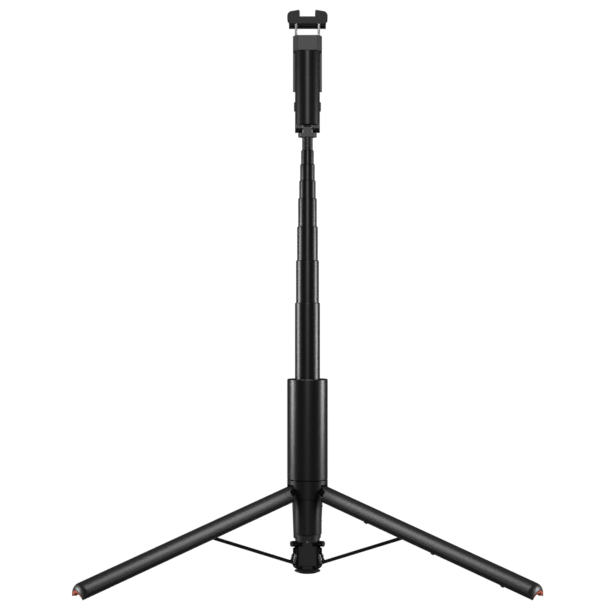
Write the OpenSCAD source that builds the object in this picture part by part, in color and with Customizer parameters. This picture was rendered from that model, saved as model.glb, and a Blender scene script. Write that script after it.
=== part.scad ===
// Selfie stick with a folding tripod foot, a telescopic mast and a phone clamp.
// Millimetres, +Z up. The origin is the centre of the base disc's underside, on the mast axis.
// The front of the clamp faces -Y. The stick stands open, with its mast partly drawn out.

/* [Handle] */
// Outer diameter of the handle sleeve and of the folded legs
sleeve_d = 36.3; // [36:0.1:37]
// Outer diameter of the fixed mast housing
housing_d = 25.5; // [25.3:0.1:25.6]
// Height of the sleeve's top edge
sleeve_top = 173.5; // [165:0.5:180]
// Height of the joint between the collar and the sleeve
collar_top = 83.3; // [83:0.1:84]
// Height of the collar's lower edge
collar_bottom = 67.9; // [67.5:0.1:68.2]

/* [Legs] */
// Length of a leg from its hinge to its tip
leg_length = 219.6; // [219:0.1:222]
// Angle between an open leg and the floor
leg_slope = 19; // [18.8:0.1:19.4]
// Radius of the leg's hollow inner face
leg_inner_r = 13.1; // [13.1:0.1:13.3]
// Half the angle that one leg covers around the mast
leg_half_angle = 57.5; // [56:0.5:57.5]
// Width across a leg
leg_w = 28.2; // [27.8:0.1:28.4]
// Distance from the mast axis to a leg hinge
hinge_r = 15.2; // [15.1:0.05:15.3]
// Height of the leg hinges
hinge_z = 76.1; // [75.9:0.1:76.3]

/* [Struts] */
// Distance from the mast axis to a strut hinge
strut_r = 10.6; // [10.4:0.1:10.7]
// Height of the strut hinges
strut_z = 6.3; // [6.2:0.1:6.6]
// Distance along the leg at which the open strut meets it
strut_reach = 98; // [95:1:100]

/* [Mast] */
// Outer diameters of the sliding tubes, lowest first
tube_d = [22.3, 20.4, 18.5, 16.6, 14.7, 13.0, 11.3, 9.5];
// Heights of the tubes' top edges, as the stick stands
tube_top = [241.6, 279.5, 309.7, 335.0, 350.9, 365.6, 378.0, 389.8];
// Length of the lowest sliding tube
tube_length = 136; // [120:1:136]
// Wall thickness of the sliding tubes
tube_wall = 0.6; // [0.5:0.05:0.65]

/* [Clamp] */
// Height of the clamp's tilt pin
tilt_z = 398; // [397.8:0.1:398.2]
// Width of the clamp body
body_w = 22.2; // [22:0.1:22.6]
// Width of the carriage
carriage_w = 26; // [25:0.5:27]
// Width of the upper jaw
jaw_w = 36.3; // [34:0.5:38]
// Diameter of the guide rods
rod_d = 2.2; // [2:0.1:2.4]
// Distance from the clamp's middle to each guide rod
rod_x = 10.25; // [10:0.05:10.4]

/* [Hidden] */

$fn = 96;
eps = 0.01;
sleeve_r = sleeve_d / 2;
housing_r = housing_d / 2;

// Compass angles of the three legs, and of the gaps between them
left_az = 210;
right_az = -30;
rear_az = 90;
leg_azimuths = [left_az, right_az, rear_az];
gap_azimuths = [-90, 30, 150];

// Handle shells
sleeve_wall = 1.8;
joint_gap = 0.2;
edge_bevel = 0.6;
spigot_h = 9;
end_ring_h = 2.4;
end_ring_drop = 0.2;
tube_clearance = 0.35;
housing_bottom = 35;
housing_top = sleeve_top - end_ring_h - end_ring_drop - joint_gap;
housing_bore_r = tube_d[0] / 2 + tube_clearance;

// Leg hinge: a knuckle on the leg turns on a pin held by the collar
knuckle_r = 2.1;
knuckle_w = 11;
hinge_pin_r = 1.1;
hinge_pin_l = 18;
run_clearance = 0.05;
slot_w = knuckle_w + 0.8;
slot_top = hinge_z + 3.6;
arch_r = 9.2;
arch_z = 65.5;
arch_gap = 0.4;
shoulder_z = collar_bottom - arch_gap - hinge_z;

// Leg section, groove and foot
open_angle = 90 - leg_slope;
tip_r = 7;
tip_arc_start = -62;
groove_w = 7;
groove_r = 16.9;
groove_start = 43;
groove_end = 178;
pad_l = 9;
pad_inner_r = 10.6;
pad_outer_r = 15.4;
pad_half_angle = 48;
pad_nose_r = 2;
pad_rim = 1;
pad_end = 0.8;
pad_edge_r = tip_r - pad_rim;
pad_tip_r = sleeve_r - tip_r + pad_edge_r * cos(tip_arc_start);
pad_arc_end = -acos((pad_outer_r - sleeve_r + tip_r) / pad_edge_r);
button_places = [56, 123.5, 191];
button_r = 1.7;
button_h = 1.0;
button_root = 1.5;
button_at_r = 15;

// Strut: an eye on the hub, a flat bar, and an eye that carries the slider pin in the leg's groove
strut_w = 4;
strut_eye_r = 2;
strut_pin_r = 1;
bar_inner = 0.75;
bar_outer = 3.85;
slider_offset = 3.8;
slider_eye_r = 1.6;
slider_pin_r = 0.9;
slider_pin_l = 6.4;
// The place of the open strut's slider, in the plane of its leg
slider_x = hinge_r + strut_reach * cos(leg_slope);
slider_z = hinge_z - strut_reach * sin(leg_slope);
slider_dist = sqrt(pow(slider_x - strut_r, 2) + pow(slider_z - strut_z, 2));
strut_length = sqrt(pow(slider_dist, 2) - pow(slider_offset, 2));
strut_rise = atan2(slider_z - strut_z, slider_x - strut_r) - atan2(slider_offset, strut_length);

// Hub
hub_top = 34.6;
hub_shoulder_z = 28.3;
hub_shoulder_r = 11;
hub_spigot_top = 39;
hub_spigot_r = housing_bore_r - 0.05;
post_r = 8.6;
post_bottom = 4.4;
neck_r = 8.2;
neck_flare = 0.6;
disc_r = 11.7;
disc_notch_r = 10.9;
disc_notch_w = 5;
disc_h = 3.6;
disc_rim_z = 1.9;
disc_foot_r = 7.5;
disc_rim_h = 0.6;
screw_r = 1.6;
screw_l = 12;
screw_head_z = disc_h - 1.6;
window_w = 6.8;
window_bottom = 22;
window_depth = 2.2;
lug_r = 2.6;
lug_z = 26.9;
lug_root = 6;
lug_reach = 16.6;
window_pin_r = 0.9;
window_pin_z = 28.8;
window_pin_reach = 9.6;
bracket_gap = 4.3;
bracket_plate = 0.9;
// A block stands in front of the hub's post in each gap between the legs
block_w = 16.8;
block_r = 9.3;
block_bottom = 7.5;
block_top = 24.8;
block_bevel = 1.2;
block_side_r = 8.5;
block_root_r = 6.25;
block_root_w = 8.8;

// Mast
tubes = len(tube_d);
tube_grow = 1.5;
bush_h = 8;
bush_t = [0.25, 0.25, 0.25, 0.25, 0.25, 0.15, 0.15, 0.2];
lip_h = 0.8;
dot_top = 1.4;
dot_r = 0.55;
dot_pitch = 3.2;
dot_count = 4;

// Head
flange_r = 8.35;
flange_bottom = 389.8;
flange_top = 393.2;
flange_flat_y = -6;
tongue_w = 8.1;
tongue_foot_w = 9.4;
tongue_foot_h = 0.2;
tongue_r = 4;
stem_l = 15;
tilt_pin_r = 1.5;
tilt_pin_l = 20;

// Clamp body
body_bottom = 393.6;
body_top = 466;
body_back = 3;
cheek_r = 4.4;
bulge_bottom = 400.8;
slot_clear = 0.2;
head_slot_top = 399.9;
head_slot_r = 4.6;
way_w = 10.6;
way_depth = 2.8;
way_bottom = 425;

// Carriage, rods and jaws
carriage_bottom = 431.2;
carriage_top = 480.1;
carriage_front = 3.3;
carriage_back = 8.3;
key_w = 10;
key_front = 0.6;
face_w = 18.4;
face_front = -8.6;
face_bottom = 466.4;
face_chamfer_y = -2;
rod_y = 5.8;
rod_bottom = 446;
rod_top = 501;
rod_bore_floor = 2;
lip_bottom = 415.1;
lip_top = 421.2;
lip_w = 24.3;
lip_plate_top = 418.2;
hook_front = 17.5;
hook_back = 20;
hook_up = 2.2;
jaw_bottom = 495.1;
jaw_top = 504.6;
jaw_pad_bottom = 492.3;
jaw_pad_w = 33.5;
notch_w = 13.8;
notch_bottom = 498.7;
jaw_corner_r = 4.5;
jaw_shoulder_z = 503.6;
pad_front = 8.6;

body_color = "#1c1c1d";
gloss_color = "#101011";
tip_color = "#b9babb";
steel_color = "#c9ccd0";
pad_color = "#e8532f";
flat_color = "#333335";

function tube_len(k) = tube_length + tube_grow * k;
function tube_bottom(k) = tube_top[k] - tube_len(k);
function arc(cx, cy, r, from, to, n = 12) =
    [for (i = [0:n]) [cx + r * cos(from + (to - from) * i / n), cy + r * sin(from + (to - from) * i / n)]];

module ring(r_out, r_in, z0, z1) {
    difference() {
        translate([0, 0, z0]) cylinder(r = r_out, h = z1 - z0);
        translate([0, 0, z0 - 1]) cylinder(r = r_in, h = z1 - z0 + 2);
    }
}

// A cylinder along X, centred on the YZ point given
module cross_pin(r, l, y, z) {
    translate([-l / 2, y, z]) rotate([0, 90, 0]) cylinder(r = r, h = l);
}

// A cylinder along Y, centred on the XZ point given
module side_pin(r, l, x, z) {
    translate([x, l / 2, z]) rotate([90, 0, 0]) cylinder(r = r, h = l);
}

// A cylinder along +X between two distances from the mast axis
module out_pin(r, from, to, z) {
    translate([from, 0, z]) rotate([0, 90, 0]) cylinder(r = r, h = to - from);
}

// Puts a shape that was drawn along +X at each of the given compass angles
module around(angles) {
    for (a = angles) rotate([0, 0, a]) children();
}

// ---- Handle ----

module sleeve() {
    color(body_color) rotate_extrude()
        polygon([
            [sleeve_r - sleeve_wall, collar_top + joint_gap],
            [sleeve_r - edge_bevel, collar_top + joint_gap],
            [sleeve_r, collar_top + joint_gap + edge_bevel],
            [sleeve_r, sleeve_top - edge_bevel],
            [sleeve_r - edge_bevel, sleeve_top],
            [sleeve_r - sleeve_wall, sleeve_top]
        ]);
}

module sleeve_end_ring() {
    color(gloss_color)
        ring(sleeve_r - sleeve_wall, housing_bore_r - 0.1, sleeve_top - end_ring_drop - end_ring_h,
            sleeve_top - end_ring_drop);
}

module leg_collar() {
    color(body_color) difference() {
        union() {
            ring(sleeve_r, housing_r + 0.05, collar_bottom, collar_top);
            ring(sleeve_r - sleeve_wall - 0.05, housing_r + 0.05, collar_top - 1, collar_top + spigot_h);
        }
        around(leg_azimuths) {
            translate([housing_r / 2, -slot_w / 2, collar_bottom - 1])
                cube([sleeve_r, slot_w, slot_top - collar_bottom + 1]);
            translate([housing_r / 2, 0, arch_z]) rotate([0, 90, 0]) cylinder(r = arch_r, h = sleeve_r);
            side_pin(hinge_pin_r, hinge_pin_l, hinge_r, hinge_z);
        }
    }
}

module mast_housing() {
    color(body_color) ring(housing_r, housing_bore_r, housing_bottom, housing_top);
}

// ---- Hub and its fittings ----

module hub() {
    color(flat_color) difference() {
        union() {
            translate([0, 0, post_bottom]) cylinder(r = post_r, h = hub_top - post_bottom, $fn = 6);
            translate([0, 0, hub_shoulder_z]) cylinder(r = hub_shoulder_r, h = hub_top - hub_shoulder_z);
            translate([0, 0, hub_top - 1]) cylinder(r = hub_spigot_r, h = hub_spigot_top - hub_top + 1);
            around(gap_azimuths) translate([0, 0, block_bottom]) linear_extrude(block_top - block_bottom)
                polygon([
                    [block_root_r, -block_root_w / 2], [block_side_r, -block_w / 2],
                    [block_r - block_bevel / 2, -block_w / 2], [block_r, -block_w / 2 + block_bevel],
                    [block_r, block_w / 2 - block_bevel], [block_r - block_bevel / 2, block_w / 2],
                    [block_side_r, block_w / 2], [block_root_r, block_root_w / 2]
                ]);
        }
        around(gap_azimuths)
            translate([hub_shoulder_r - window_depth, -window_w / 2, window_bottom])
                cube([sleeve_r, window_w, hub_top - window_bottom]);
        around(leg_azimuths) out_pin(lug_r, lug_root, lug_reach, lug_z);
        around(gap_azimuths) out_pin(window_pin_r, lug_root, window_pin_reach, window_pin_z);
        translate([0, 0, screw_head_z]) cylinder(r = screw_r, h = screw_l + 1);
    }
}

module base_disc() {
    color(flat_color) difference() {
        rotate_extrude() polygon([
            [0, 0], [disc_foot_r, 0], [disc_r - 0.5, disc_rim_z - disc_rim_h], [disc_r, disc_rim_z],
            [disc_r - 0.5, disc_rim_z + disc_rim_h], [neck_r + neck_flare, disc_h],
            [neck_r, post_bottom], [0, post_bottom]
        ]);
        around(leg_azimuths) translate([disc_notch_r, -disc_notch_w / 2, -1])
            cube([disc_r, disc_notch_w, post_bottom]);
        translate([0, 0, screw_head_z]) cylinder(r = screw_r, h = screw_l);
    }
}

module disc_screw() {
    color(steel_color) translate([0, 0, screw_head_z]) cylinder(r = screw_r, h = screw_l);
}

module bracket_plates(points) {
    around(leg_azimuths) for (side = [-1, 1])
        translate([0, side * (bracket_gap + bracket_plate) / 2 + bracket_plate / 2, 0])
            rotate([90, 0, 0]) linear_extrude(bracket_plate) polygon(points);
}

module strut_brackets() {
    color(gloss_color) difference() {
        bracket_plates([
            [7, 4.6], [11.4, 4.6], [13, 6.2], [14.4, 9.5], [12.6, 16.8], [13.3, 16.8],
            [13.3, 23], [7, 23]
        ]);
        around(leg_azimuths)
            side_pin(strut_pin_r, bracket_gap + 3 * bracket_plate, strut_r, strut_z);
        translate([0, 0, post_bottom]) cylinder(r = post_r, h = hub_top, $fn = 6);
    }
}

module bracket_tips() {
    color(tip_color) bracket_plates([
        [14.4, 9.5], [16.6, 9.5], [16.6, 10.5], [14.4, 17.8], [13.3, 17.8], [13.3, 16.8], [12.6, 16.8]
    ]);
}

// Round studs that point at the legs, and that the grooves of the folded legs close over
module latch_lugs() {
    color(gloss_color) around(leg_azimuths) out_pin(lug_r, lug_root, lug_reach, lug_z);
}

module window_pins() {
    color(steel_color) around(gap_azimuths)
        out_pin(window_pin_r, lug_root, window_pin_reach, window_pin_z);
}

module leg_hinge_pins() {
    color(steel_color) around(leg_azimuths) side_pin(hinge_pin_r, hinge_pin_l, hinge_r, hinge_z);
}

module strut_hinge_pins() {
    color(steel_color) around(leg_azimuths)
        side_pin(strut_pin_r, bracket_gap + 2 * bracket_plate, strut_r, strut_z);
}

// ---- Legs: drawn folded, hanging from the hinge along -Z, then swung open ----

module open_leg(azimuth) {
    rotate([0, 0, azimuth]) translate([hinge_r, 0, hinge_z]) rotate([0, -open_angle, 0]) children();
}

// A turned shape around the mast axis of the folded leg, from a profile in radius and height
module leg_turn(half_angle) {
    translate([-hinge_r, 0, 0]) rotate([0, 0, -half_angle]) rotate_extrude(angle = 2 * half_angle)
        children();
}

// The pad's outer edge, a rim's thickness inside the rounded tip of the leg
function pad_outer_edge() = concat(
    arc(sleeve_r - tip_r, -leg_length + tip_r, pad_edge_r, tip_arc_start, pad_arc_end, 6),
    [[pad_outer_r, -leg_length + pad_l]]
);

module leg_profile() {
    polygon(concat(
        [[leg_inner_r, shoulder_z], [leg_inner_r, -leg_length + 0.6]],
        arc(sleeve_r - tip_r, -leg_length + tip_r, tip_r, tip_arc_start, 0),
        [[sleeve_r, shoulder_z]]
    ));
}

module leg(azimuth) {
    color(body_color) open_leg(azimuth) difference() {
        union() {
            intersection() {
                leg_turn(leg_half_angle) leg_profile();
                translate([-2 * sleeve_r, -leg_w / 2, -leg_length])
                    cube([4 * sleeve_r, leg_w, leg_length]);
            }
            intersection() {
                leg_turn(leg_half_angle)
                    translate([leg_inner_r, shoulder_z - 4]) square([sleeve_r - leg_inner_r, 20]);
                union() {
                    translate([-hinge_r, 0, arch_z - hinge_z]) rotate([0, 90, 0])
                        cylinder(r = arch_r - arch_gap, h = 2 * sleeve_r);
                    translate([-hinge_r, -knuckle_w / 2, shoulder_z - 4])
                        cube([2 * sleeve_r, knuckle_w, -shoulder_z + 4]);
                }
            }
            side_pin(knuckle_r, knuckle_w, 0, 0);
        }
        side_pin(hinge_pin_r + run_clearance, hinge_pin_l + 2, 0, 0);
        translate([-2 * sleeve_r + groove_r - hinge_r, -groove_w / 2, -groove_end])
            cube([2 * sleeve_r, groove_w, groove_end - groove_start]);
        leg_turn(pad_half_angle) polygon(concat(
            [[leg_inner_r - 1, -leg_length + pad_l], [leg_inner_r - 1, -leg_length - 1],
                [pad_tip_r, -leg_length - 1]],
            pad_outer_edge()
        ));
        for (t = button_places) leg_button_at(t);
    }
}

// A short round button standing out of the leg's side edge
module leg_button_at(t) {
    translate([-hinge_r, 0, -t]) rotate([0, 0, -leg_half_angle]) translate([button_at_r, 0, 0])
        rotate([90, 0, 0]) translate([0, 0, -button_root])
            cylinder(r = button_r, h = button_root + button_h);
}

module edge_buttons(azimuth) {
    color(gloss_color) open_leg(azimuth) for (t = button_places) leg_button_at(t);
}

module foot_pad(azimuth) {
    color(pad_color) open_leg(azimuth) leg_turn(pad_half_angle) polygon(concat(
        [[pad_inner_r, -leg_length + pad_l]],
        arc(pad_inner_r + pad_nose_r, -leg_length + pad_end + pad_nose_r, pad_nose_r, 180, 270, 6),
        [[pad_tip_r, -leg_length + pad_end]],
        pad_outer_edge()
    ));
}

// ---- Struts: drawn hanging from the hub, then swung up to the open place ----

module open_strut(azimuth) {
    rotate([0, 0, azimuth]) translate([strut_r, 0, strut_z]) rotate([0, -90 - strut_rise, 0]) children();
}

module strut(azimuth) {
    color(gloss_color) open_strut(azimuth) difference() {
        union() {
            side_pin(strut_eye_r, strut_w, 0, 0);
            translate([bar_inner, -strut_w / 2, -strut_length - slider_eye_r / 2])
                cube([bar_outer - bar_inner, strut_w, strut_length + slider_eye_r / 2]);
            side_pin(slider_eye_r, strut_w, slider_offset, -strut_length);
        }
        side_pin(strut_pin_r + run_clearance, strut_w + 2, 0, 0);
        side_pin(slider_pin_r, strut_w + 2, slider_offset, -strut_length);
    }
}

module strut_slider(azimuth) {
    color(steel_color) open_strut(azimuth)
        side_pin(slider_pin_r, slider_pin_l, slider_offset, -strut_length);
}

// ---- Mast ----

module tube(k) {
    r = tube_d[k] / 2;
    color(gloss_color) difference() {
        rotate_extrude() polygon([
            [r - tube_wall, tube_bottom(k)],
            [r, tube_bottom(k)],
            [r, tube_top[k] - lip_h],
            [r - tube_wall / 2, tube_top[k]],
            [r - tube_wall, tube_top[k]]
        ]);
        if (k == tubes - 1) for (i = [0:dot_count - 1])
            translate([0, 0, tube_top[k] - dot_top - i * dot_pitch])
                rotate([90, 0, 0]) cylinder(r = dot_r, h = r + 1);
    }
}

module tube_bush(k) {
    r = tube_d[k] / 2;
    color("dimgray") ring(r + bush_t[k], r, tube_bottom(k), tube_bottom(k) + bush_h);
}

// ---- Head ----

module head_swivel() {
    color(flat_color) difference() {
        union() {
            intersection() {
                translate([0, 0, flange_bottom]) cylinder(r = flange_r, h = flange_top - flange_bottom);
                translate([-2 * flange_r, flange_flat_y, flange_bottom]) cube(4 * flange_r);
            }
            translate([-tongue_foot_w / 2, -tongue_r, flange_top - 1])
                cube([tongue_foot_w, 2 * tongue_r, 1 + tongue_foot_h]);
            translate([-tongue_w / 2, -tongue_r, flange_top - 1])
                cube([tongue_w, 2 * tongue_r, tilt_z - flange_top + 1]);
            cross_pin(tongue_r, tongue_w, 0, tilt_z);
            translate([0, 0, flange_bottom - stem_l])
                cylinder(r = tube_d[tubes - 1] / 2 - tube_wall - run_clearance, h = stem_l + 1);
        }
        cross_pin(tilt_pin_r + run_clearance, tongue_w + 2, 0, tilt_z);
    }
}

module tilt_pin() {
    color(steel_color) cross_pin(tilt_pin_r, tilt_pin_l, 0, tilt_z);
}

module clamp_body() {
    bulge_r = body_w / 2;
    slot = tongue_w + 2 * slot_clear;
    color(body_color) difference() {
        union() {
            translate([0, 0, bulge_bottom]) difference() {
                cylinder(r = bulge_r, h = body_top - bulge_bottom);
                translate([-body_w, 0, -1]) cube([2 * body_w, body_w, body_top - bulge_bottom + 2]);
            }
            translate([-bulge_r, -eps, bulge_bottom])
                cube([body_w, body_back + eps, body_top - bulge_bottom]);
            cross_pin(cheek_r, body_w, 0, tilt_z);
            translate([-bulge_r, -cheek_r, tilt_z])
                cube([body_w, cheek_r + body_back, bulge_bottom - tilt_z + 1]);
        }
        translate([-slot / 2, -body_w, body_bottom - 1])
            cube([slot, 2 * body_w, head_slot_top - body_bottom + 1]);
        translate([-slot / 2, 0, body_bottom])
            cube([slot, body_w, tilt_z + head_slot_r - body_bottom]);
        cross_pin(head_slot_r, slot, 0, tilt_z);
        cross_pin(tilt_pin_r, tilt_pin_l, 0, tilt_z);
        translate([-way_w / 2, body_back - way_depth, way_bottom])
            cube([way_w, 2 * way_depth, body_top - way_bottom + 1]);
    }
}

module lower_lip() {
    color(body_color) {
        translate([-lip_w / 2, body_back, lip_bottom])
            cube([lip_w, hook_back - body_back, lip_plate_top - lip_bottom]);
        translate([-lip_w / 2, body_back, lip_plate_top - eps])
            cube([lip_w, pad_front - body_back, lip_top - lip_plate_top + eps]);
        translate([-lip_w / 2, hook_front, lip_plate_top - eps])
            cube([lip_w, hook_back - hook_front, lip_top + hook_up - lip_plate_top + eps]);
    }
}

module lip_pad() {
    color("dimgray") translate([-lip_w / 2, pad_front, lip_plate_top])
        cube([lip_w, hook_front - pad_front, lip_top - lip_plate_top]);
}

module clamp_carriage() {
    color(body_color) difference() {
        union() {
            translate([-carriage_w / 2, carriage_front, carriage_bottom])
                cube([carriage_w, carriage_back - carriage_front, carriage_top - carriage_bottom]);
            translate([-key_w / 2, key_front, carriage_bottom])
                cube([key_w, carriage_front - key_front + 1, carriage_top - carriage_bottom - 2]);
        }
        for (side = [-1, 1]) translate([side * rod_x, rod_y, carriage_bottom + rod_bore_floor])
            cylinder(r = rod_d / 2 + run_clearance, h = carriage_top - carriage_bottom);
    }
}

module carriage_face() {
    half = carriage_w / 2;
    color(flat_color) difference() {
        translate([0, 0, face_bottom]) linear_extrude(carriage_top - face_bottom) polygon([
            [-half, carriage_front], [-half, face_chamfer_y], [-face_w / 2, face_front],
            [face_w / 2, face_front], [half, face_chamfer_y], [half, carriage_front]
        ]);
        translate([-key_w / 2 - eps, key_front - eps, face_bottom - 1])
            cube([key_w + 2 * eps, carriage_front, carriage_top - face_bottom - 1]);
    }
}

module guide_rods() {
    color(steel_color) for (side = [-1, 1])
        translate([side * rod_x, rod_y, rod_bottom]) cylinder(r = rod_d / 2, h = rod_top - rod_bottom);
}

// Two horns with rounded shoulders on each side of an open notch
module jaw_outline() {
    half = jaw_w / 2;
    right_half = concat(
        [[0, jaw_bottom], [jaw_pad_w / 2, jaw_bottom], [half, jaw_bottom + 1.8]],
        arc(half - jaw_corner_r, jaw_shoulder_z - jaw_corner_r, jaw_corner_r, 0, 68),
        [[notch_w / 2 + 1, jaw_top], [notch_w / 2, jaw_top - 0.8], [notch_w / 2, notch_bottom],
         [0, notch_bottom]]
    );
    polygon(right_half);
    mirror([1, 0, 0]) polygon(right_half);
}

module upper_jaw() {
    color(body_color) difference() {
        union() {
            translate([0, hook_back, 0]) rotate([90, 0, 0])
                linear_extrude(hook_back - carriage_front) jaw_outline();
            translate([-jaw_pad_w / 2, hook_front, jaw_pad_bottom - hook_up])
                cube([jaw_pad_w, hook_back - hook_front, jaw_bottom - jaw_pad_bottom + hook_up + 1]);
            translate([-jaw_pad_w / 2, carriage_front, jaw_pad_bottom])
                cube([jaw_pad_w, pad_front - carriage_front, jaw_bottom - jaw_pad_bottom + 1]);
        }
        for (side = [-1, 1]) translate([side * rod_x, rod_y, jaw_pad_bottom - 1])
            cylinder(r = rod_d / 2, h = rod_top - jaw_pad_bottom + 1);
    }
}

module jaw_pad() {
    color("dimgray") translate([-jaw_pad_w / 2, pad_front, jaw_pad_bottom])
        cube([jaw_pad_w, hook_front - pad_front, jaw_bottom - jaw_pad_bottom]);
}

sleeve();
sleeve_end_ring();
leg_collar();
mast_housing();
hub();
base_disc();
disc_screw();
strut_brackets();
bracket_tips();
latch_lugs();
window_pins();
leg_hinge_pins();
strut_hinge_pins();
leg(left_az);  // leg_left
leg(right_az);  // leg_right
leg(rear_az);  // leg_rear
foot_pad(left_az);  // foot_pad_left
foot_pad(right_az);  // foot_pad_right
foot_pad(rear_az);  // foot_pad_rear
edge_buttons(left_az);  // edge_buttons_left
edge_buttons(right_az);  // edge_buttons_right
edge_buttons(rear_az);  // edge_buttons_rear
strut(left_az);  // strut_left
strut(right_az);  // strut_right
strut(rear_az);  // strut_rear
strut_slider(left_az);  // strut_slider_left
strut_slider(right_az);  // strut_slider_right
strut_slider(rear_az);  // strut_slider_rear
tube(0);  // tube_1
tube(1);  // tube_2
tube(2);  // tube_3
tube(3);  // tube_4
tube(4);  // tube_5
tube(5);  // tube_6
tube(6);  // tube_7
tube(7);  // tube_8
tube_bush(0);  // tube_bush_1
tube_bush(1);  // tube_bush_2
tube_bush(2);  // tube_bush_3
tube_bush(3);  // tube_bush_4
tube_bush(4);  // tube_bush_5
tube_bush(5);  // tube_bush_6
tube_bush(6);  // tube_bush_7
tube_bush(7);  // tube_bush_8
head_swivel();
tilt_pin();
clamp_body();
lower_lip();
lip_pad();
clamp_carriage();
carriage_face();
guide_rods();
upper_jaw();
jaw_pad();
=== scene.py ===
"""A selfie stick on its folding tripod foot, dressed for a studio picture.

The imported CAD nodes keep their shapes. Here they get softened edges and procedural materials,
the clamp's two rubber pads get ribbed meshes, four small studs fill the holes in the top tube,
and a camera and soft lights are added.
Everything is in metres, in the frame of the CAD model: +Z up, front along -Y.
"""
import math

import bmesh
import bpy
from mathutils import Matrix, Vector


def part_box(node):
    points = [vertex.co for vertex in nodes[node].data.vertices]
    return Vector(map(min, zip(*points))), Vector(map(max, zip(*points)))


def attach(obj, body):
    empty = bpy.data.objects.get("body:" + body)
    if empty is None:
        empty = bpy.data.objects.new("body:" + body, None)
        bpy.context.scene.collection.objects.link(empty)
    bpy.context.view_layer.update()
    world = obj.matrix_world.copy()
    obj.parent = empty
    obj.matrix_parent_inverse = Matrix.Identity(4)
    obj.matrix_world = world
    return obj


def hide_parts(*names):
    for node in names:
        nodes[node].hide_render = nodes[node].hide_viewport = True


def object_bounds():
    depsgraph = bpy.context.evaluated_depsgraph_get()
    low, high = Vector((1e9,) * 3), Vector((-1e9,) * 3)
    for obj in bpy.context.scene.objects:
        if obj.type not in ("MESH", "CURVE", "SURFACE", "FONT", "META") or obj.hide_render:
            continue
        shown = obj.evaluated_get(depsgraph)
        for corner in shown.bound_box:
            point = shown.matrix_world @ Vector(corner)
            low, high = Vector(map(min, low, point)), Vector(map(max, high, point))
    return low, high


MM = 0.001
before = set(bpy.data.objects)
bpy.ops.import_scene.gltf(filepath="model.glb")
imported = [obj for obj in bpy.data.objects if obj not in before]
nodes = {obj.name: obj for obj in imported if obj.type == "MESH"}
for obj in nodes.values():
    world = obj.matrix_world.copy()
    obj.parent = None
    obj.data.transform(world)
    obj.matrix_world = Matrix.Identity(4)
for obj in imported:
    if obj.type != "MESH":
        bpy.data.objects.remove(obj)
cad_low, cad_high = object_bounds()

SIDES = ("left", "right", "rear")
TUBE_COUNT = 8
TOP_TUBE = f"tube_{TUBE_COUNT}"


# ---- Materials ----

# The slow drift of each finish's tone, in features per metre
DRIFT_SCALE = 38.0
# How strongly the grain tilts the surface
BUMP_STRENGTH = 0.6
# The middle range of a noise, which is spread over the roughness or over the two tones
NOISE_RANGE = (0.3, 0.7)
TONE_RANGE = (0.35, 0.65)
# Grain with no direction, and grain drawn out along Z, more and more
EVEN = (1.0, 1.0, 1.0)
DRAWN_SHORT = (1.0, 1.0, 0.1)
DRAWN = (1.0, 1.0, 0.05)
DRAWN_LONG = (1.0, 1.0, 0.04)


def shader_nodes(name):
    """A new material, with its node tree and its Principled shader."""
    material = bpy.data.materials.new(name)
    material.use_nodes = True
    tree = material.node_tree
    return material, tree, tree.nodes["Principled BSDF"]


def add_noise(tree, scale, detail=4.0, stretch=EVEN):
    """A noise texture in object coordinates. Its scale is in features per metre."""
    place = tree.nodes.new("ShaderNodeTexCoord")
    mapping = tree.nodes.new("ShaderNodeMapping")
    mapping.inputs["Scale"].default_value = stretch
    noise = tree.nodes.new("ShaderNodeTexNoise")
    noise.inputs["Scale"].default_value = scale
    noise.inputs["Detail"].default_value = detail
    tree.links.new(place.outputs["Object"], mapping.inputs["Vector"])
    tree.links.new(mapping.outputs["Vector"], noise.inputs["Vector"])
    return noise


def map_range(tree, source, old_range, new_range):
    """Maps a value from one range onto another, held at both ends."""
    fit = tree.nodes.new("ShaderNodeMapRange")
    fit.inputs["From Min"].default_value = old_range[0]
    fit.inputs["From Max"].default_value = old_range[1]
    fit.inputs["To Min"].default_value = new_range[0]
    fit.inputs["To Max"].default_value = new_range[1]
    tree.links.new(source, fit.inputs["Value"])
    return fit.outputs["Result"]


def two_tone(tree, noise, dark, light):
    """A colour that drifts between two close tones."""
    ramp = tree.nodes.new("ShaderNodeValToRGB")
    for element, position, tone in zip(ramp.color_ramp.elements, TONE_RANGE, (dark, light)):
        element.position = position
        element.color = (*tone, 1.0)
    tree.links.new(noise.outputs["Fac"], ramp.inputs["Fac"])
    return ramp.outputs["Color"]


def finish_material(name, dark, light, rough, grain, grain_depth, metallic=0.0, stretch=EVEN,
                    coat=0.0, coat_rough=0.1, specular=0.5):
    """A finish with drifting tone, uneven roughness and a fine grain.

    rough is the lowest and highest roughness, grain the grain's features per metre, and
    grain_depth its height in metres.
    """
    material, tree, shader = shader_nodes(name)
    drift = add_noise(tree, DRIFT_SCALE, 3.0)
    fine = add_noise(tree, grain, 5.0, stretch)
    tree.links.new(two_tone(tree, drift, dark, light), shader.inputs["Base Color"])
    roughness = map_range(tree, fine.outputs["Fac"], NOISE_RANGE, rough)
    tree.links.new(roughness, shader.inputs["Roughness"])
    bump = tree.nodes.new("ShaderNodeBump")
    bump.inputs["Strength"].default_value = BUMP_STRENGTH
    bump.inputs["Distance"].default_value = grain_depth
    tree.links.new(fine.outputs["Fac"], bump.inputs["Height"])
    tree.links.new(bump.outputs["Normal"], shader.inputs["Normal"])
    shader.inputs["Metallic"].default_value = metallic
    shader.inputs["Specular IOR Level"].default_value = specular
    shader.inputs["Coat Weight"].default_value = coat
    shader.inputs["Coat Roughness"].default_value = coat_rough
    return material


def grey(value, blue=1.03):
    """A near-black or grey tone, a touch cool."""
    return (value, value, value * blue)


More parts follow.
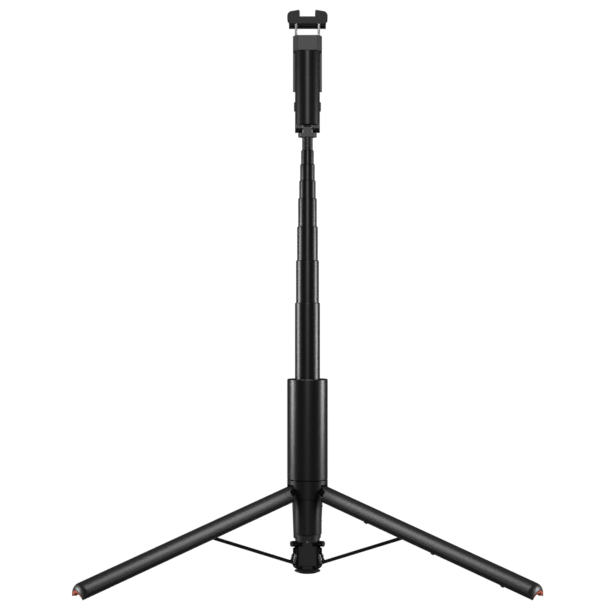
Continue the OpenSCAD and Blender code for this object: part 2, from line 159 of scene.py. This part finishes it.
MATERIALS = {
    "satin_shell": finish_material("satin_shell", grey(0.0040), grey(0.0055), (0.29, 0.36), 5200, 4e-6,
                                   coat=0.15, coat_rough=0.3),
    "housing": finish_material("housing_paint", grey(0.0030), grey(0.0042), (0.28, 0.35), 4200, 5e-6,
                               coat=0.6, coat_rough=0.28),
    "leg_shell": finish_material("leg_shell", grey(0.0065), grey(0.0085), (0.36, 0.43), 5600, 5e-6,
                                 specular=0.55),
    "tube_gloss": finish_material("tube_gloss", grey(0.0030), grey(0.0042), (0.32, 0.36), 2600, 2e-7,
                                  coat=0.05, coat_rough=0.3, stretch=DRAWN),
    "clamp_shell": finish_material("clamp_shell", grey(0.009, 1.06), grey(0.012, 1.06), (0.34, 0.41), 6200,
                                   1.2e-5, specular=0.42),
    "jaw_shell": finish_material("jaw_shell", grey(0.004, 1.06), grey(0.006, 1.06), (0.40, 0.5), 6200,
                                 1.2e-5, specular=0.3),
    "face_shell": finish_material("face_shell", grey(0.064), grey(0.074), (0.40, 0.5), 6200, 1.4e-5),
    "hub_shell": finish_material("hub_shell", grey(0.022), grey(0.028), (0.36, 0.46), 6200, 1.4e-5),
    "bracket_paint": finish_material("bracket_paint", grey(0.004), grey(0.006), (0.25, 0.33), 4200, 5e-6),
    "bracket_tip": finish_material("bracket_tip", grey(0.34), grey(0.42), (0.28, 0.36), 3800, 4e-6,
                                   metallic=0.85),
    "lug_gloss": finish_material("lug_gloss", grey(0.008), grey(0.012), (0.14, 0.2), 3000, 2e-6, coat=0.6,
                                 coat_rough=0.08),
    "dark_pin": finish_material("dark_pin", grey(0.10), grey(0.13), (0.25, 0.33), 3000, 2e-6,
                                metallic=1.0),
    "head_tube": finish_material("head_tube", grey(0.012), grey(0.022), (0.36, 0.5), 1900, 3e-5),
    "strut_paint": finish_material("strut_paint", grey(0.003), grey(0.004), (0.30, 0.38), 4200, 5e-6),
    "steel": finish_material("steel", grey(0.50), grey(0.58), (0.18, 0.26), 3000, 2e-6, metallic=1.0,
                             stretch=DRAWN_SHORT),
    "rod_steel": finish_material("rod_steel", grey(0.62), grey(0.68), (0.34, 0.4), 3000, 2e-7,
                                 metallic=1.0, stretch=DRAWN_LONG),
    "grip_rubber": finish_material("grip_rubber", grey(0.010), grey(0.015), (0.6, 0.72), 7200, 2.2e-5),
    "bush_plastic": finish_material("bush_plastic", grey(0.14), grey(0.17), (0.4, 0.5), 5200, 8e-6),
    "dot_enamel": finish_material("dot_enamel", grey(0.42), grey(0.5), (0.35, 0.45), 3000, 1e-6),
    "foot_silicone": finish_material("foot_silicone", (0.86, 0.19, 0.10), (0.92, 0.22, 0.12),
                                     (0.42, 0.52), 5200, 1.2e-5),
}

NODE_MATERIALS = {
    "sleeve": "satin_shell", "sleeve_end_ring": "tube_gloss", "leg_collar": "satin_shell",
    "mast_housing": "housing", "hub": "hub_shell", "base_disc": "hub_shell", "disc_screw": "steel",
    "strut_brackets": "bracket_paint", "bracket_tips": "bracket_tip", "latch_lugs": "lug_gloss",
    "window_pins": "steel",
    "leg_hinge_pins": "dark_pin", "strut_hinge_pins": "dark_pin", "head_swivel": "face_shell",
    "tilt_pin": "steel", "clamp_body": "clamp_shell", "lower_lip": "clamp_shell",
    "lip_pad": "grip_rubber", "clamp_carriage": "clamp_shell", "carriage_face": "face_shell",
    "guide_rods": "rod_steel", "upper_jaw": "jaw_shell", "jaw_pad": "grip_rubber",
}
for side in SIDES:
    NODE_MATERIALS[f"leg_{side}"] = "leg_shell"
    NODE_MATERIALS[f"foot_pad_{side}"] = "foot_silicone"
    NODE_MATERIALS[f"edge_buttons_{side}"] = "grip_rubber"
    NODE_MATERIALS[f"strut_{side}"] = "strut_paint"
    NODE_MATERIALS[f"strut_slider_{side}"] = "steel"
for number in range(1, TUBE_COUNT + 1):
    NODE_MATERIALS[f"tube_{number}"] = "tube_gloss"
    NODE_MATERIALS[f"tube_bush_{number}"] = "bush_plastic"
NODE_MATERIALS[TOP_TUBE] = "head_tube"


def dress(obj, material_name):
    """Gives every face of an object one material."""
    obj.data.materials.clear()
    obj.data.materials.append(MATERIALS[material_name])


# ---- Softened edges on the CAD nodes ----

# Width of the rounded edge on each node, in millimetres
EDGE_MM = {
    "sleeve": 0.25, "mast_housing": 0.3, "hub": 0.3, "base_disc": 0.2, "strut_brackets": 0.12,
    "bracket_tips": 0.12, "latch_lugs": 0.4, "head_swivel": 0.3, "clamp_body": 0.4,
    "lower_lip": 0.35, "clamp_carriage": 0.5, "carriage_face": 0.6, "upper_jaw": 0.6,
    "sleeve_end_ring": 0.2,
}
for side in SIDES:
    EDGE_MM[f"leg_{side}"] = 0.45
    EDGE_MM[f"foot_pad_{side}"] = 0.5
    EDGE_MM[f"edge_buttons_{side}"] = 0.35
    EDGE_MM[f"strut_{side}"] = 0.25
for number in range(1, TUBE_COUNT + 1):
    EDGE_MM[f"tube_{number}"] = 0.1

# Corners this close together, in metres, count as one
WELD_DISTANCE = 1e-6


def round_edges(obj, width_mm, steps, sharp_degrees):
    """Rounds the edges that turn by more than an angle, in a number of steps."""
    bevel = obj.modifiers.new("round_edges", "BEVEL")
    bevel.width = width_mm * MM
    bevel.segments = steps
    bevel.limit_method = "ANGLE"
    bevel.angle_limit = math.radians(sharp_degrees)


def soften(obj, width_mm):
    """Rounds an object's sharp edges without touching its mesh."""
    weld = obj.modifiers.new("join_corners", "WELD")
    weld.merge_threshold = WELD_DISTANCE
    round_edges(obj, width_mm, steps=3, sharp_degrees=32)
    even = obj.modifiers.new("even_shading", "WEIGHTED_NORMAL")
    even.mode = "FACE_AREA"


def shade_smooth(obj):
    """Shades an object's faces as one smooth surface."""
    for polygon in obj.data.polygons:
        polygon.use_smooth = True


for name, obj in nodes.items():
    dress(obj, NODE_MATERIALS[name])
    shade_smooth(obj)
    if name in EDGE_MM:
        soften(obj, EDGE_MM[name])


# ---- Pieces that replace plain CAD solids, or are added to them ----

# The ribs on the clamp's rubber pads
RIB_DEPTH = 0.5 * MM
RIB_STEPS = 8

# The studs' places on the top tube, down from its top edge, and how far they lie below its front
DOT_COUNT = 4
DOT_TOP_MM = 1.4
DOT_PITCH_MM = 3.2
DOT_RADIUS_MM = 0.53
DOT_SINK_MM = 0.05
DOT_SIDES = 20
# A stud's outline, as shares of its radius and depths in millimetres, from its back to its front
DOT_OUTLINE = ((1.0, 0.6), (1.0, 0.12), (0.85, 0.04), (0.5, 0.0))


def new_object(name, mesh_data):
    """Links a finished bmesh to the scene as a named object."""
    mesh = bpy.data.meshes.new(name)
    mesh_data.normal_update()
    mesh_data.to_mesh(mesh)
    mesh_data.free()
    obj = bpy.data.objects.new(name, mesh)
    bpy.context.scene.collection.objects.link(obj)
    return obj


def ribbed_pad(name, node, body, facing, rib_count):
    """A rubber pad in the place of a plain one, with round ribs across the face that grips.

    facing is 1 where the ribs stand up and -1 where they hang down.
    """
    low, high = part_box(node)
    outline = []
    for index in range(rib_count * RIB_STEPS + 1):
        along = index / (rib_count * RIB_STEPS)
        lift = RIB_DEPTH * (abs(math.sin(math.pi * index / RIB_STEPS)) - 1.0)
        outline.append((low.x + (high.x - low.x) * along, lift))
    face_z = high.z if facing > 0 else low.z
    back_z = low.z if facing > 0 else high.z
    shape = bmesh.new()
    rows = []
    for y in (low.y, high.y):
        ribs = [shape.verts.new((x, y, face_z + facing * lift)) for x, lift in outline]
        backs = [shape.verts.new((x, y, back_z)) for x, lift in outline]
        rows.append((ribs, backs))
    (front_ribs, front_backs), (rear_ribs, rear_backs) = rows
    last = len(outline) - 1
    for i in range(last):
        shape.faces.new((front_ribs[i], front_ribs[i + 1], rear_ribs[i + 1], rear_ribs[i]))
        shape.faces.new((front_backs[i], rear_backs[i], rear_backs[i + 1], front_backs[i + 1]))
        shape.faces.new((front_ribs[i], front_backs[i], front_backs[i + 1], front_ribs[i + 1]))
        shape.faces.new((rear_ribs[i], rear_ribs[i + 1], rear_backs[i + 1], rear_backs[i]))
    shape.faces.new((front_ribs[0], rear_ribs[0], rear_backs[0], front_backs[0]))
    shape.faces.new((front_ribs[last], front_backs[last], rear_backs[last], rear_ribs[last]))
    bmesh.ops.recalc_face_normals(shape, faces=shape.faces)
    pad = new_object(name, shape)
    dress(pad, "grip_rubber")
    round_edges(pad, 0.2, steps=2, sharp_degrees=50)
    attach(pad, body)
    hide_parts(node)


def stud_ring(shape, centre, radius):
    """One ring of points round a stud, which faces -Y."""
    ring = []
    for step in range(DOT_SIDES):
        angle = 2 * math.pi * step / DOT_SIDES
        across = Vector((radius * math.cos(angle), 0.0, radius * math.sin(angle)))
        ring.append(shape.verts.new(centre + across))
    return ring


def head_dots(name, node, body):
    """Small domed studs, one under the other, that fill the holes in the top tube's front."""
    low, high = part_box(node)
    front_y = low.y + DOT_SINK_MM * MM
    shape = bmesh.new()
    for index in range(DOT_COUNT):
        centre_z = high.z - (DOT_TOP_MM + index * DOT_PITCH_MM) * MM
        rings = []
        for share, depth_mm in DOT_OUTLINE:
            centre = Vector((0.0, front_y + depth_mm * MM, centre_z))
            rings.append(stud_ring(shape, centre, share * DOT_RADIUS_MM * MM))
        for outer, inner in zip(rings, rings[1:]):
            for step in range(DOT_SIDES):
                after = (step + 1) % DOT_SIDES
                shape.faces.new((outer[step], outer[after], inner[after], inner[step]))
        shape.faces.new(rings[0])
        shape.faces.new(list(reversed(rings[-1])))
    bmesh.ops.recalc_face_normals(shape, faces=shape.faces)
    dots = new_object(name, shape)
    shade_smooth(dots)
    dress(dots, "dot_enamel")
    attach(dots, body)


ribbed_pad("lower_grip", "lip_pad", "clamp", 1, 12)
ribbed_pad("upper_grip", "jaw_pad", "jaw", -1, 16)
head_dots("head_dots", TOP_TUBE, f"mast_{TUBE_COUNT}")


# ---- Studio ----

# How bright the surroundings are to the camera, and to the object in front of it and behind it
WHITE = 1.02
AMBIENT = 0.02
AMBIENT_BEHIND = 0.08

# The floor just under the object: how much light it throws back, and how far that drifts
FLOOR_BOUNCE = 0.16
FLOOR_DRIFT = 1.05
FLOOR_GAP = 0.05 * MM
FLOOR_HALF_WIDTH = 12.0
FLOOR_SQUARES = 12

CAMERA_AT = (-0.0022, -1.432, 0.2396)
LENS_MM = 94.4
SENSOR_MM = 36.0


def pick_shader(tree, amount, plain, other):
    """Mixes two shaders: plain where the amount is 0, and the other one where it is 1."""
    mix = tree.nodes.new("ShaderNodeMixShader")
    tree.links.new(amount, mix.inputs["Fac"])
    tree.links.new(plain, mix.inputs[1])
    tree.links.new(other, mix.inputs[2])
    return mix.outputs["Shader"]


def dim_floor():
    """A dim floor that throws a little light onto the object from below.

    The camera and the lights look through it to the white surroundings, so that a leg that folds
    down past it stays in view and lit.
    """
    shape = bmesh.new()
    bmesh.ops.create_grid(shape, x_segments=FLOOR_SQUARES, y_segments=FLOOR_SQUARES,
                          size=FLOOR_HALF_WIDTH)
    bmesh.ops.translate(shape, verts=shape.verts, vec=(0.0, 0.0, cad_low.z - FLOOR_GAP))
    stage = new_object("pale_floor", shape)
    material, tree, shader = shader_nodes("pale_floor")
    drift = add_noise(tree, 3.0)
    low = (FLOOR_BOUNCE, FLOOR_BOUNCE, FLOOR_BOUNCE)
    high = tuple(FLOOR_DRIFT * tone for tone in low)
    tree.links.new(two_tone(tree, drift, low, high), shader.inputs["Base Color"])
    shader.inputs["Roughness"].default_value = 0.8
    shader.inputs["Specular IOR Level"].default_value = 0.1
    clear = tree.nodes.new("ShaderNodeBsdfTransparent")
    path = tree.nodes.new("ShaderNodeLightPath")
    either = tree.nodes.new("ShaderNodeMath")
    either.operation = "MAXIMUM"
    tree.links.new(path.outputs["Is Camera Ray"], either.inputs[0])
    tree.links.new(path.outputs["Is Shadow Ray"], either.inputs[1])
    joined = pick_shader(tree, either.outputs["Value"], shader.outputs["BSDF"], clear.outputs["BSDF"])
    tree.links.new(joined, tree.nodes["Material Output"].inputs["Surface"])
    stage.data.materials.append(material)


def studio_world():
    """White surroundings for the camera, and a dim light for the object that is strongest behind it."""
    world = bpy.data.worlds.new("studio")
    bpy.context.scene.world = world
    world.use_nodes = True
    tree = world.node_tree
    dim = tree.nodes["Background"]
    dim.inputs["Color"].default_value = (1.0, 1.0, 1.0, 1.0)
    place = tree.nodes.new("ShaderNodeTexCoord")
    parts = tree.nodes.new("ShaderNodeSeparateXYZ")
    tree.links.new(place.outputs["Generated"], parts.inputs["Vector"])
    strength = map_range(tree, parts.outputs["Y"], (0.0, 1.0), (AMBIENT, AMBIENT_BEHIND))
    tree.links.new(strength, dim.inputs["Strength"])
    bright = tree.nodes.new("ShaderNodeBackground")
    bright.inputs["Color"].default_value = (1.0, 1.0, 1.0, 1.0)
    bright.inputs["Strength"].default_value = WHITE
    path = tree.nodes.new("ShaderNodeLightPath")
    joined = pick_shader(tree, path.outputs["Is Camera Ray"], dim.outputs["Background"],
                         bright.outputs["Background"])
    tree.links.new(joined, tree.nodes["World Output"].inputs["Surface"])


def level_camera():
    """The camera stands level, in front of the object, a little left of its mast."""
    data = bpy.data.cameras.new("camera")
    data.sensor_width = SENSOR_MM
    data.lens = LENS_MM
    data.clip_start = 0.01
    data.clip_end = 50.0
    camera = bpy.data.objects.new("camera", data)
    camera.location = CAMERA_AT
    camera.rotation_euler = (math.radians(90), 0.0, 0.0)
    bpy.context.scene.collection.objects.link(camera)
    bpy.context.scene.camera = camera


def soft_light(name, azimuth, distance, height, width, tall, power, aim_z):
    """A rectangular soft light. Azimuth 0 is where the camera stands, and 90 is to its right."""
    data = bpy.data.lights.new(name, "AREA")
    data.shape = "RECTANGLE"
    data.size = width
    data.size_y = tall
    data.energy = power
    light = bpy.data.objects.new(name, data)
    turn = math.radians(azimuth)
    light.location = (distance * math.sin(turn), -distance * math.cos(turn), height)
    to_object = Vector((0.0, 0.0, aim_z)) - light.location
    light.rotation_euler = to_object.to_track_quat("-Z", "Y").to_euler()
    bpy.context.scene.collection.objects.link(light)


bpy.context.scene.view_settings.view_transform = "Standard"
dim_floor()
studio_world()
level_camera()
for word, turn in (("left", -1), ("right", 1)):
    soft_light(f"strip_{word}", azimuth=turn * 93.5, distance=0.9, height=0.235, width=0.30, tall=0.34,
               power=4.7, aim_z=0.235)
soft_light("front_soft", azimuth=0, distance=2.2, height=0.85, width=0.34, tall=0.8, power=13.0,
           aim_z=0.4)
soft_light("top_soft", azimuth=180, distance=0.2, height=1.9, width=0.9, tall=0.7, power=16.0,
           aim_z=0.05)
